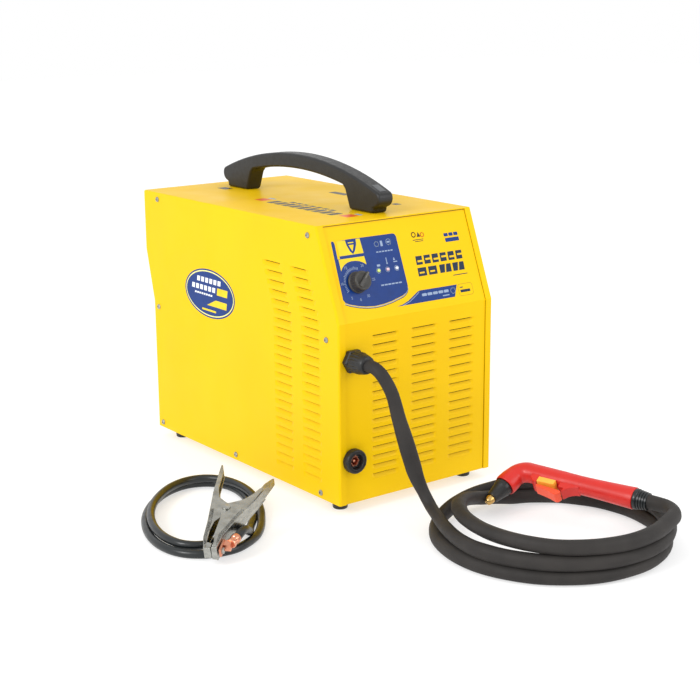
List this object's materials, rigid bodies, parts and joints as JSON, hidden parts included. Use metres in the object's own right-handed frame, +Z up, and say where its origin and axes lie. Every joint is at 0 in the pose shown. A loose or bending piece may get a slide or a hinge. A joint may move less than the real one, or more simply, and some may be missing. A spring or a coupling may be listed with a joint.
{
  "type": "plasma cutter unit",
  "caption": "Portable plasma cutter in a louvred sheet steel case with a carrying handle and built-in compressor, with its coiled torch cable and earth clamp lying beside it.",
  "frame": {"origin": "floor level, midway between the case's sides and between the furthest front and rear points of the unit without its torch and earth lead", "axes": "+Z up, the front panel faces -Y, +X to the right seen from the front"},
  "size_m": [0.6158, 0.969, 0.487],
  "materials": {
    "yellow_paint": "semi-gloss powder coat",
    "black_plastic": "satin moulded",
    "black_rubber": "smooth",
    "cable_sleeve": "dull rubber jacket",
    "red_plastic": "satin moulded",
    "orange_plastic": "satin moulded",
    "amber_plastic": "satin moulded",
    "brass": "turned",
    "copper": "bright copper",
    "zinc_steel": "zinc plated",
    "bare_aluminium": "as cast",
    "led_green": "translucent lens",
    "led_red": "translucent lens",
    "led_white": "translucent lens",
    "circuit_board": "lacquered board",
    "cast_grey": "painted casting"
  },
  "bodies": {
    "unit": {"base_tray": "yellow_paint", "carry_handle": "black_plastic", "clamp_cable_lug": "copper", "clamp_fixed_arm": "zinc_steel", "clamp_pivot_rivet": "zinc_steel", "clamp_spring": "zinc_steel", "compressor_head": "bare_aluminium", "compressor_motor": "cast_grey", "control_board": "circuit_board", "cover_screw_left_low_front": "zinc_steel", "cover_screw_left_low_mid": "zinc_steel", "cover_screw_left_low_rear": "zinc_steel", "cover_screw_left_mid_front": "zinc_steel", "cover_screw_left_mid_rear": "zinc_steel", "cover_screw_left_top_front": "zinc_steel", "cover_screw_left_top_rear": "zinc_steel", "cover_screw_right_low_front": "zinc_steel", "cover_screw_right_low_mid": "zinc_steel", "cover_screw_right_low_rear": "zinc_steel", "cover_screw_right_mid_front": "zinc_steel", "cover_screw_right_mid_rear": "zinc_steel", "cover_screw_right_top_front": "zinc_steel", "cover_screw_right_top_rear": "zinc_steel", "cover_shell": "yellow_paint", "earth_cable_clamp_end": "black_rubber", "earth_cable_plug_end": "black_rubber", "earth_coil": "black_rubber", "earth_plug": "black_rubber", "earth_socket_body": "black_plastic", "earth_socket_contact": "copper", "fan_frame": "black_plastic", "foot_front_left": "black_rubber", "foot_front_right": "black_rubber", "foot_rear_left": "black_rubber", "foot_rear_right": "black_rubber", "front_panel": "yellow_paint", "heatsink": "bare_aluminium", "indicator_1": "led_green", "indicator_2": "led_red", "indicator_3": "led_white", "mains_gland": "black_plastic", "mains_switch_frame": "black_plastic", "power_board": "circuit_board", "rear_panel": "yellow_paint", "torch_cable": "cable_sleeve", "torch_cable_end": "cable_sleeve", "torch_coil": "cable_sleeve", "torch_gland_body": "black_plastic", "torch_gland_nut": "black_plastic", "torch_grip_left": "red_plastic", "torch_grip_right": "red_plastic", "torch_nozzle": "brass", "torch_shield_cup": "black_plastic", "torch_strain_relief": "black_rubber"},
    "knob": {"current_knob": "black_plastic"},
    "trigger": {"torch_trigger": "orange_plastic"},
    "safety_slide": {"torch_safety_slide": "amber_plastic"},
    "clamp_jaw": {"clamp_moving_arm": "zinc_steel"},
    "rocker": {"mains_switch_rocker": "red_plastic"},
    "fan": {"fan_rotor": "black_plastic"}
  },
  "joints": [
    {"name": "current_knob_turn", "type": "hinge", "parent": "unit", "child": "knob", "pos_m": [-0.095, -0.23734, 0.33435], "axis": [0, -0.9313, 0.3641], "range_deg": [-105, 195]},
    {"name": "torch_trigger_pull", "type": "hinge", "parent": "unit", "child": "trigger", "pos_m": [0.07163, -0.44093, 0.04729], "axis": [-0.432, -0.1463, 0.8899], "range_deg": [0, 5], "stiffness_Nm_per_rad": 3, "springref_deg": -4.58},
    {"name": "torch_safety_slide_shift", "type": "slide", "parent": "unit", "child": "safety_slide", "axis": [0.2746, -0.9612, -0.0247], "range_m": [0, 0.004], "stiffness_N_per_m": 300, "springref_m": -0.003},
    {"name": "earth_clamp_open", "type": "hinge", "parent": "unit", "child": "clamp_jaw", "pos_m": [-0.33027, -0.25173, 0.0462], "axis": [0.2314, 0.2048, -0.9511], "range_deg": [0, 25], "stiffness_Nm_per_rad": 6, "springref_deg": -17.19},
    {"name": "mains_switch_rock", "type": "hinge", "parent": "unit", "child": "rocker", "pos_m": [0.07, 0.26985, 0.367], "axis": [0, 0, 1], "range_deg": [0, 18]},
    {"name": "fan_spin", "type": "hinge", "parent": "unit", "child": "fan", "pos_m": [0, 0.23675, 0.128], "axis": [0, 1, 0], "continuous": true}
  ]
}
